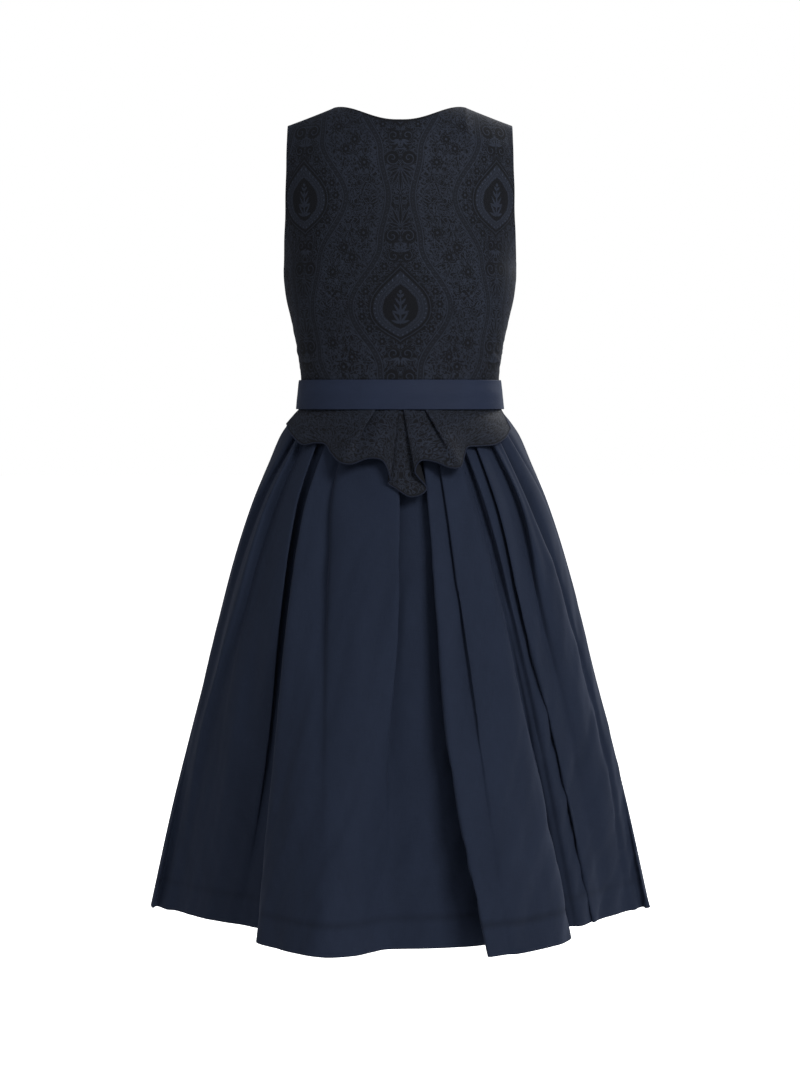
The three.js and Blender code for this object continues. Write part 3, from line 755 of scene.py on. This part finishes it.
def mix_colour(tree, factor, a, b):
    made = node(tree, "ShaderNodeMix", data_type="RGBA")
    for key, value in ((0, factor), (6, a), (7, b)):
        if isinstance(value, bpy.types.NodeSocket):
            tree.links.new(value, made.inputs[key])
        else:
            made.inputs[key].default_value = value
    return made.outputs[2]


def cloth_uv(tree, scale_u, scale_v):
    uv = node(tree, "ShaderNodeUVMap", uv_map="cloth").outputs[0]
    return node(tree, "ShaderNodeMapping", {0: uv, 3: (scale_u, scale_v, 1.0)}).outputs[0]


def threads(tree, along_u, along_v, detail=2.0):
    """Uneven threads: noise with so many waves to the metre across and up the cloth."""
    place = cloth_uv(tree, along_u, along_v)
    return node(tree, "ShaderNodeTexNoise", {"Vector": place, "Scale": 1.0, "Detail": detail}).outputs[0]


def sheen(shader, weight, roughness, tint):
    shader.inputs["Sheen Weight"].default_value = weight
    shader.inputs["Sheen Roughness"].default_value = roughness
    shader.inputs["Sheen Tint"].default_value = tint


THREADS_LONG, THREADS_FINE = 60, 1500
CLOUDS_ACROSS, CLOUDS_DOWN, CLOUD_SHARE = 24, 9, 0.8
GRAIN_SIZE, GRAIN_SHARE = 260, 0.6
PLAIN_LEVEL = 0.42
# How dark the painted shade along the skirt's hem fold line is, as a share of the cloth's colour, and how
# strongly it is mixed in
HEM_SHADE_DARKNESS, HEM_SHADE_SHARE = 0.35, 0.55
PLAIN_SPECULAR = 0.1
PLAIN_SHEEN_TINT = (0.42, 0.52, 0.85, 1)
THREAD_HEIGHT = 0.0006


def plain_weave(name, colour, light, rough, sheen_weight, slub, hem_line_shade=None):
    """A plain navy weave with thicker threads here and there both ways."""
    material, tree, shader = new_material(name)
    across = math_node(tree, "MULTIPLY", threads(tree, THREADS_LONG, THREADS_FINE), 0.5)
    both = math_node(tree, "MULTIPLY_ADD", threads(tree, THREADS_FINE, THREADS_LONG), 0.5, across)
    cloudy = math_node(tree, "SUBTRACT", threads(tree, CLOUDS_ACROSS, CLOUDS_DOWN, 4.0), 0.5)
    level = math_node(tree, "MULTIPLY_ADD", math_node(tree, "SUBTRACT", both, 0.5), slub, PLAIN_LEVEL)
    level = math_node(tree, "MULTIPLY_ADD", cloudy, CLOUD_SHARE, level)
    level = math_node(tree, "MAXIMUM", math_node(tree, "MINIMUM", level, 1.0), 0.0)
    base = mix_colour(tree, level, colour, light)
    # Painted shade: along the marked line the colour is mixed towards a darker copy of itself
    if hem_line_shade:
        mark = node(tree, "ShaderNodeAttribute", attribute_name=hem_line_shade).outputs["Fac"]
        shade = (*[c * HEM_SHADE_DARKNESS for c in colour[:3]], 1)
        base = mix_colour(tree, math_node(tree, "MULTIPLY", mark, HEM_SHADE_SHARE), base, shade)
    tree.links.new(base, shader.inputs["Base Color"])
    shader.inputs["Roughness"].default_value = rough
    shader.inputs["Specular IOR Level"].default_value = PLAIN_SPECULAR
    sheen(shader, sheen_weight, 0.45, PLAIN_SHEEN_TINT)
    grain = threads(tree, GRAIN_SIZE, GRAIN_SIZE, 1.0)
    height = math_node(tree, "MULTIPLY_ADD", grain, GRAIN_SHARE, both)
    bump = node(tree, "ShaderNodeBump", {"Strength": 0.25, "Distance": THREAD_HEIGHT, "Height": height})
    tree.links.new(bump.outputs[0], shader.inputs["Normal"])
    return material


GROUND = (0.0052, 0.0058, 0.0077, 1)
FIGURE = (0.0285, 0.0365, 0.0585, 1)
DARK_THREAD = (0.003, 0.0035, 0.005, 1)
FIGURE_THREADS = (420, 1300)
FIGURE_CLOUDS = 10
SPECKS = 900
FIGURE_SPECULAR = 0.08
FIGURE_SHEEN = 0.015
FIGURE_SHEEN_TINT = (0.5, 0.58, 0.85, 1)
MOST_UNEVEN, LEAST_SHOWN = 0.9, 0.55
GROUND_ROUGH, FIGURE_SMOOTHER = 0.8, -0.22
FIGURE_HEIGHT = 0.0005
# Tones of the leaves, lines, beads, filled bands and fine leafage
LEAF, LINE, BEAD, FILL, SMALL_LEAF = 0.38, 0.5, 0.42, 0.1, 0.5
BEAD_SPACING = 5.2
BAND_LINE_AT = 3.9
RIM_FROM, RIM_TO = 7.5, 20.5
# Depths in the medallion's rim where its lines run
BORDER_AT, RAYS_AT, INNER_LINE_AT, SCALLOP_AT = 3.4, 9.6, 13.2, 18.0
RAY_TONE = 0.95

# The fine leafage: how many drifts, leaves and curls to the metre, and how far the drifts move them
DRIFTS, LEAVES, CURLS = 60.0, 128.0, 85.0
DRIFT = 0.012
CURL_LINES = 4.6
CURL_SHARE = 0.8


def near_line(tree, value, middle, half_width):
    """1 on the line where a value passes through its middle, 0 beyond the half width."""
    away = math_node(tree, "ABSOLUTE", math_node(tree, "SUBTRACT", value, middle))
    return math_node(tree, "MAXIMUM", math_node(tree, "MULTIPLY_ADD", away, -1 / half_width, 1.0), 0.0)


def fine_leafage(tree):
    """Outlines of small leaves and curls, mirrored about each column of figures."""
    uv = node(tree, "ShaderNodeUVMap", uv_map="cloth").outputs[0]
    place = node(tree, "ShaderNodeSeparateXYZ", {0: uv})
    across = math_node(tree, "PINGPONG", place.outputs[0], CELL_X / 2 * MM)
    spot = node(tree, "ShaderNodeCombineXYZ", {0: across, 1: place.outputs[1]}).outputs[0]
    drift = node(tree, "ShaderNodeTexNoise", {"Vector": spot, "Scale": DRIFTS, "Detail": 1.0})
    moved = {0: drift.outputs["Color"], 1: (DRIFT, DRIFT, 0.0), 2: spot}
    spot = node(tree, "ShaderNodeVectorMath", moved, operation="MULTIPLY_ADD").outputs[0]
    cells = node(tree, "ShaderNodeTexVoronoi", {"Vector": spot, "Scale": LEAVES}, feature="DISTANCE_TO_EDGE")
    hills = node(tree, "ShaderNodeTexNoise", {"Vector": spot, "Scale": CURLS, "Detail": 0.0}).outputs[0]
    steps = math_node(tree, "FRACT", math_node(tree, "MULTIPLY", hills, CURL_LINES))
    leaves = near_line(tree, cells.outputs["Distance"], 0.12, 0.06)
    curls = near_line(tree, steps, 0.5, 0.17)
    return math_node(tree, "MAXIMUM", leaves, math_node(tree, "MULTIPLY", curls, CURL_SHARE))


def drawn_figures(tree):
    """Tone of the jacquard, 0 on the ground to 1, drawn from the distances kept on the cloth."""
    kept = {}
    for name in ("leafy", "frame", "rim", "ray", "fine", "woven"):
        kept[name] = node(tree, "ShaderNodeAttribute", attribute_name=name).outputs["Fac"]
    across = math_node(tree, "ABSOLUTE", kept["frame"])
    rim, ray = kept["rim"], kept["ray"]
    on_leaf = math_node(tree, "MULTIPLY_ADD", kept["leafy"], 1.5, 0.5)
    on_leaf = math_node(tree, "MAXIMUM", math_node(tree, "MINIMUM", on_leaf, 1.0), 0.0)
    uv = node(tree, "ShaderNodeUVMap", uv_map="cloth").outputs[0]
    up = node(tree, "ShaderNodeSeparateXYZ", {0: uv}).outputs[1]
    wave = math_node(tree, "SINE", math_node(tree, "MULTIPLY", up, math.tau / (BEAD_SPACING * MM)))
    scallop = math_node(tree, "MULTIPLY_ADD", ray, -1.3, rim)
    past_edge = math_node(tree, "GREATER_THAN", rim, RIM_FROM)
    in_rim = math_node(tree, "MULTIPLY", past_edge, math_node(tree, "LESS_THAN", rim, RIM_TO))
    bead = math_node(tree, "MAXIMUM", wave, 0.0)
    beads = math_node(tree, "MULTIPLY", near_line(tree, across, 0.0, 1.7), bead)
    bright = math_node(tree, "MAXIMUM", ray, 0.0)
    rays = math_node(tree, "MULTIPLY", near_line(tree, rim, RAYS_AT, 2.6), bright)
    parts = (
        (on_leaf, LEAF),
        (near_line(tree, across, BAND_LINE_AT, 0.95), LINE),
        (beads, BEAD),
        (math_node(tree, "LESS_THAN", across, BAND_LINE_AT), FILL),
        (near_line(tree, rim, BORDER_AT, 1.0), LINE * 0.75),
        (in_rim, FILL * 2.2),
        (rays, RAY_TONE),
        (near_line(tree, rim, INNER_LINE_AT, 1.0), LINE),
        (near_line(tree, scallop, SCALLOP_AT, 1.3), LINE * 1.1),
        (math_node(tree, "MULTIPLY", fine_leafage(tree), kept["fine"]), SMALL_LEAF),
    )
    drawn = 0.0
    for part, level in parts:
        drawn = math_node(tree, "MAXIMUM", math_node(tree, "MULTIPLY", part, level), drawn)
    return math_node(tree, "MULTIPLY", drawn, kept["woven"])


def figured_weave(name):
    """The jacquard: a matt near-black ground with navy figures that catch more light."""
    material, tree, shader = new_material(name)
    drawn = drawn_figures(tree)
    grain = threads(tree, *FIGURE_THREADS)
    cloudy = threads(tree, FIGURE_CLOUDS, FIGURE_CLOUDS, 3.0)
    shown = drawn
    for unevenness in (grain, cloudy):
        share = math_node(tree, "MULTIPLY_ADD", unevenness, MOST_UNEVEN, LEAST_SHOWN)
        shown = math_node(tree, "MULTIPLY", shown, share)
    shown = math_node(tree, "MINIMUM", shown, 1.0)
    base = mix_colour(tree, shown, GROUND, FIGURE)
    specks = threads(tree, SPECKS, SPECKS, 1.0)
    speck = math_node(tree, "MINIMUM", math_node(tree, "MULTIPLY_ADD", specks, 0.5, 0.75), 1.0)
    base = mix_colour(tree, math_node(tree, "SUBTRACT", 1.0, speck), base, DARK_THREAD)
    tree.links.new(base, shader.inputs["Base Color"])
    rough = math_node(tree, "MULTIPLY_ADD", shown, FIGURE_SMOOTHER, GROUND_ROUGH)
    tree.links.new(rough, shader.inputs["Roughness"])
    shader.inputs["Specular IOR Level"].default_value = FIGURE_SPECULAR
    sheen(shader, FIGURE_SHEEN, 0.5, FIGURE_SHEEN_TINT)
    height = math_node(tree, "MULTIPLY_ADD", drawn, 0.8, math_node(tree, "MULTIPLY", grain, 0.5))
    bump = node(tree, "ShaderNodeBump", {"Strength": 0.3, "Distance": FIGURE_HEIGHT, "Height": height})
    tree.links.new(bump.outputs[0], shader.inputs["Normal"])
    return material


SKIRT_DARK, SKIRT_LIGHT = (0.0078, 0.0116, 0.023, 1), (0.0132, 0.019, 0.0365, 1)
SATIN_DARK, SATIN_LIGHT = (0.0098, 0.0145, 0.030, 1), (0.0145, 0.021, 0.0425, 1)
EDGE_DARK, EDGE_LIGHT = (0.0065, 0.0085, 0.016, 1), (0.010, 0.014, 0.027, 1)
skirt_cloth = plain_weave("navy_plain_weave", SKIRT_DARK, SKIRT_LIGHT, 0.85, 0.05, 1.2, "hem_line_shade")
band_cloth = plain_weave("navy_satin_band", SATIN_DARK, SATIN_LIGHT, 0.7, 0.05, 0.7)
edge_cloth = plain_weave("navy_edge_binding", EDGE_DARK, EDGE_LIGHT, 0.8, 0.04, 0.6)
jacquard = figured_weave("navy_figured_jacquard")


def dress(piece, material, node_name):
    piece.data.materials.append(material)
    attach(piece, "root")
    if node_name:
        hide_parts(node_name)
    return piece


# Bodice
ROUND_COLUMNS = np.radians(72)
BODICE_HALF = 159
INNER_EVERY = 6
PLAIN_EDGE = 3.4
BACK_ROWS, BACK_COLUMNS = 270, 320
FRONT_ROWS, FRONT_COLUMNS = 230, 160
WRINKLES_Z, WRINKLES_HIGH = -335, 38
WRINKLE, WRINKLE_LONG, WRINKLE_WIDE = 0.55, 90, 22
EASE, EASE_LONG, EASE_WIDE, EASE_FADES = 0.35, 120, 90, 40
SEAM_CALM, CALM_FADES = 22, 20


def bodice_grid(face, low, high, rows, columns):
    phi = np.linspace(high, low, columns) * ROUND_COLUMNS
    s = np.sin(phi) / math.sin(ROUND_COLUMNS)
    if low == 0 or high == 0:
        s = np.where(np.abs(s) < 1e-9, math.copysign(SEAM_GAP / 2 / BODICE_HALF, low + high), s)
    top = back_top(s) if face > 0 else front_top(s)
    down = np.linspace(0, 1, rows)[:, None] ** 1.08
    z = lerp(top[None, :], WAIST_SEAM_Z + SEAM_GAP / 2, down)
    return bodice_points(s[None, :] + 0 * z, z, face)


def fit_wrinkles(grid, seed):
    """Slight drag and ease above the waist, none at the seams and edges."""
    u, v = arc(grid, 1), arc(grid, 0)
    z = grid[..., 2]
    near_waist = np.exp(-(((z - WRINKLES_Z) / WRINKLES_HIGH) ** 2))
    inset = smooth((z - WAIST_SEAM_Z - SEAM_CALM) / CALM_FADES)
    level = WRINKLE * ripples(u, v, seed, WRINKLE_LONG, WRINKLE_WIDE) * near_waist * inset
    level += EASE * ripples(u, v, seed + 1, EASE_LONG, EASE_WIDE) * smooth(v / EASE_FADES) * inset
    return grid + grid_normals(grid) * level[..., None]


def jacquard_marks(grid, plain_edge, figures=True):
    """The jacquard's distances across and up the cloth, counted from the middle line."""
    z = grid[..., 2]
    middle = np.argmin(np.abs(grid[0, :, 0]))
    along = arc(grid, 1)
    u = along - along[:, middle : middle + 1]
    marks = figure_marks(np.abs(u), z, figures)
    marks["woven"] = smooth((arc(grid, 0) - plain_edge) / 1.2) if plain_edge else np.ones_like(z)
    return marks, np.stack([u, z], -1)


def bodice_panel(name, face, low, high, rows, columns, seed):
    grid = fit_wrinkles(bodice_grid(face, low, high, rows, columns), seed)
    if face < 0:
        grid = grid[:, ::-1]
    marks, uv = jacquard_marks(grid, PLAIN_EDGE)
    piece = cloth_shell(name + "_cloth", grid, INNER_EVERY, BODICE_CLOTH, uv, marks)
    return dress(piece, jacquard, name)


back = bodice_panel("bodice_back", 1, -1, 1, BACK_ROWS, BACK_COLUMNS, 11)
front_right = bodice_panel("bodice_front_right", -1, 0, 1, FRONT_ROWS, FRONT_COLUMNS, 12)
front_left = bodice_panel("bodice_front_left", -1, -1, 0, FRONT_ROWS, FRONT_COLUMNS, 13)

# Band and peplum
EDGE_ROLL, EDGE_ROLL_WIDE = 0.5, 5
BAND_WIDE = 38.5
BAND_EASE, BAND_EASE_LONG, BAND_EASE_WIDE = 0.12, 60, 30
BOUND_EDGE = 2.2
EDGE_RADIUS = 0.95
band = band_grid(rows=14, columns=360)
along_band, down_band = arc(band, 1), arc(band, 0)
flat_part = smooth(down_band / EDGE_ROLL_WIDE) * smooth((BAND_WIDE - down_band) / EDGE_ROLL_WIDE)
ease = BAND_EASE * ripples(along_band, down_band, 21, BAND_EASE_LONG, BAND_EASE_WIDE)
band = band + grid_normals(band) * (EDGE_ROLL * (flat_part - 1) + ease)[..., None]
band_uv = np.stack([along_band, down_band], -1)
waistband = cloth_shell("waistband_cloth", band, 2, BAND_CLOTH, band_uv, {}, 0.9)
dress(waistband, band_cloth, "waistband")

flounce = peplum_grid(rows=64, spacing=1.5, least=6)
marks, uv = jacquard_marks(flounce, 0, figures=False)
rim = arc(flounce, 0)
marks["woven"] = smooth(rim[-1:] - rim - BOUND_EDGE)
peplum = cloth_shell("peplum_cloth", flounce, 2, PEPLUM_CLOTH, uv, marks)
dress(peplum, jacquard, "peplum")
hem_line = np.concatenate([flounce[6:-1, 0], flounce[-1], flounce[6:-1, -1][::-1]])
peplum_edge = dress(tube("peplum_edge", hem_line, EDGE_RADIUS), edge_cloth, None)

# Skirt
# How far above the hem the fold line with its painted shade lies, and how wide that shade is
HEM_DEPTH = 40
HEM_SHADE_WIDE = 2.6
RIPPLES_BELOW_Z = -515
RIPPLES_FULL_IN = 110
SIDE_SEAM_CALM = 18
# Ripples of the skirt: height, length across and length down
SKIRT_RIPPLES = ((1.7, 85, 500), (0.45, 34, 240), (0.14, 18, 40))


def skirt_piece(name, folds, face, rows, spacing, least, seed):
    grid = skirt_grid(folds, face, rows, spacing, least)
    if face < 0:
        grid = grid[:, ::-1]
    u, v = arc(grid, 1), arc(grid, 0)
    side = smooth(u / SIDE_SEAM_CALM) * smooth((u[:, -1:] - u) / SIDE_SEAM_CALM)
    free = smooth((RIPPLES_BELOW_Z - grid[..., 2]) / RIPPLES_FULL_IN)
    level = 0
    for i, (height, across, down) in enumerate(SKIRT_RIPPLES):
        level = level + height * ripples(u, v, seed + i, across, down)
    level = level * side * free * lerp(0.7, 1.25, skirt_share(grid[..., 2]))
    grid = grid + grid_normals(grid) * level[..., None]
    # A line at the hem's fold is marked for painted shade in the cloth's colour
    to_hem = v[-1:] - v
    hem_line_shade = np.exp(-(((to_hem - HEM_DEPTH) / HEM_SHADE_WIDE) ** 2))
    uv = np.stack([u - u[:, u.shape[1] // 2][:, None], v], -1)
    piece = cloth_shell(name + "_cloth", grid, 2, SKIRT_CLOTH, uv, {"hem_line_shade": hem_line_shade}, 0.9)
    return dress(piece, skirt_cloth, name)


skirt_back = skirt_piece("skirt_back", BACK_FOLDS, 1, rows=110, spacing=3.4, least=6, seed=31)
skirt_front = skirt_piece("skirt_front", FRONT_FOLDS, -1, rows=90, spacing=3.8, least=6, seed=32)

# Floor, light and camera
CAMERA_AWAY = 3.4
CAMERA_Z = -0.3876
PIXELS_HIGH = 1067
FOCAL_PIXELS = 2482
SENSOR = 36.0
PICTURE_CENTRE_DOWN = 133.5
FLOOR_Z = -1.42
FLOOR_SIZE = 60
FLOOR_WHITE = (0.92, 0.92, 0.92, 1)
LIT_POINT = (0, 0, -0.6)

bpy.ops.mesh.primitive_plane_add(size=FLOOR_SIZE, location=(0, 0, FLOOR_Z))
floor = bpy.context.object
floor.name = "floor"
floor_material, tree, shader = new_material("pale_floor")
shader.inputs["Base Color"].default_value = FLOOR_WHITE
shader.inputs["Roughness"].default_value = 0.9
shader.inputs["Emission Color"].default_value = (1.0, 1.0, 1.0, 1)
seen_floor = tree.nodes.new("ShaderNodeLightPath").outputs["Is Camera Ray"]
tree.links.new(seen_floor, shader.inputs["Emission Strength"])
floor.data.materials.append(floor_material)

world = bpy.data.worlds.new("studio")
bpy.context.scene.world = world
world.use_nodes = True
WHITE_SEEN, ROOM_LIGHT = 1.0, 0.3
light_tree = world.node_tree
seen = light_tree.nodes.new("ShaderNodeLightPath").outputs["Is Camera Ray"]
strength = math_node(light_tree, "MULTIPLY_ADD", seen, WHITE_SEEN - ROOM_LIGHT, ROOM_LIGHT)
light_tree.nodes["Background"].inputs["Color"].default_value = (1.0, 1.0, 1.0, 1)
light_tree.links.new(strength, light_tree.nodes["Background"].inputs["Strength"])


def area_light(name, place, size, power):
    data = bpy.data.lights.new(name, "AREA")
    data.shape = "SQUARE"
    data.size = size
    data.energy = power
    lamp = bpy.data.objects.new(name, data)
    bpy.context.scene.collection.objects.link(lamp)
    lamp.location = place
    lamp.rotation_euler = (Vector(LIT_POINT) - Vector(place)).to_track_quat("-Z", "Y").to_euler()


# Name, place and width in metres, and power in watts of each light
LIGHTS = (
    ("key", (-1.9, 2.5, 1.5), 1.4, 116),
    ("fill", (1.8, 2.6, 0.8), 1.4, 18),
    ("front_key", (-1.9, -2.5, 1.5), 1.4, 116),
)
for name, place, size, power in LIGHTS:
    area_light(name, place, size, power)

camera_data = bpy.data.cameras.new("camera")
camera = bpy.data.objects.new("camera", camera_data)
bpy.context.scene.collection.objects.link(camera)
camera.location = (0, CAMERA_AWAY, CAMERA_Z)
camera.rotation_euler = (math.radians(90), 0, math.radians(180))
camera_data.sensor_width = SENSOR
camera_data.lens = SENSOR * FOCAL_PIXELS / PIXELS_HIGH
camera_data.shift_y = -PICTURE_CENTRE_DOWN / PIXELS_HIGH
bpy.context.scene.camera = camera
bpy.context.scene.view_settings.view_transform = "Standard"
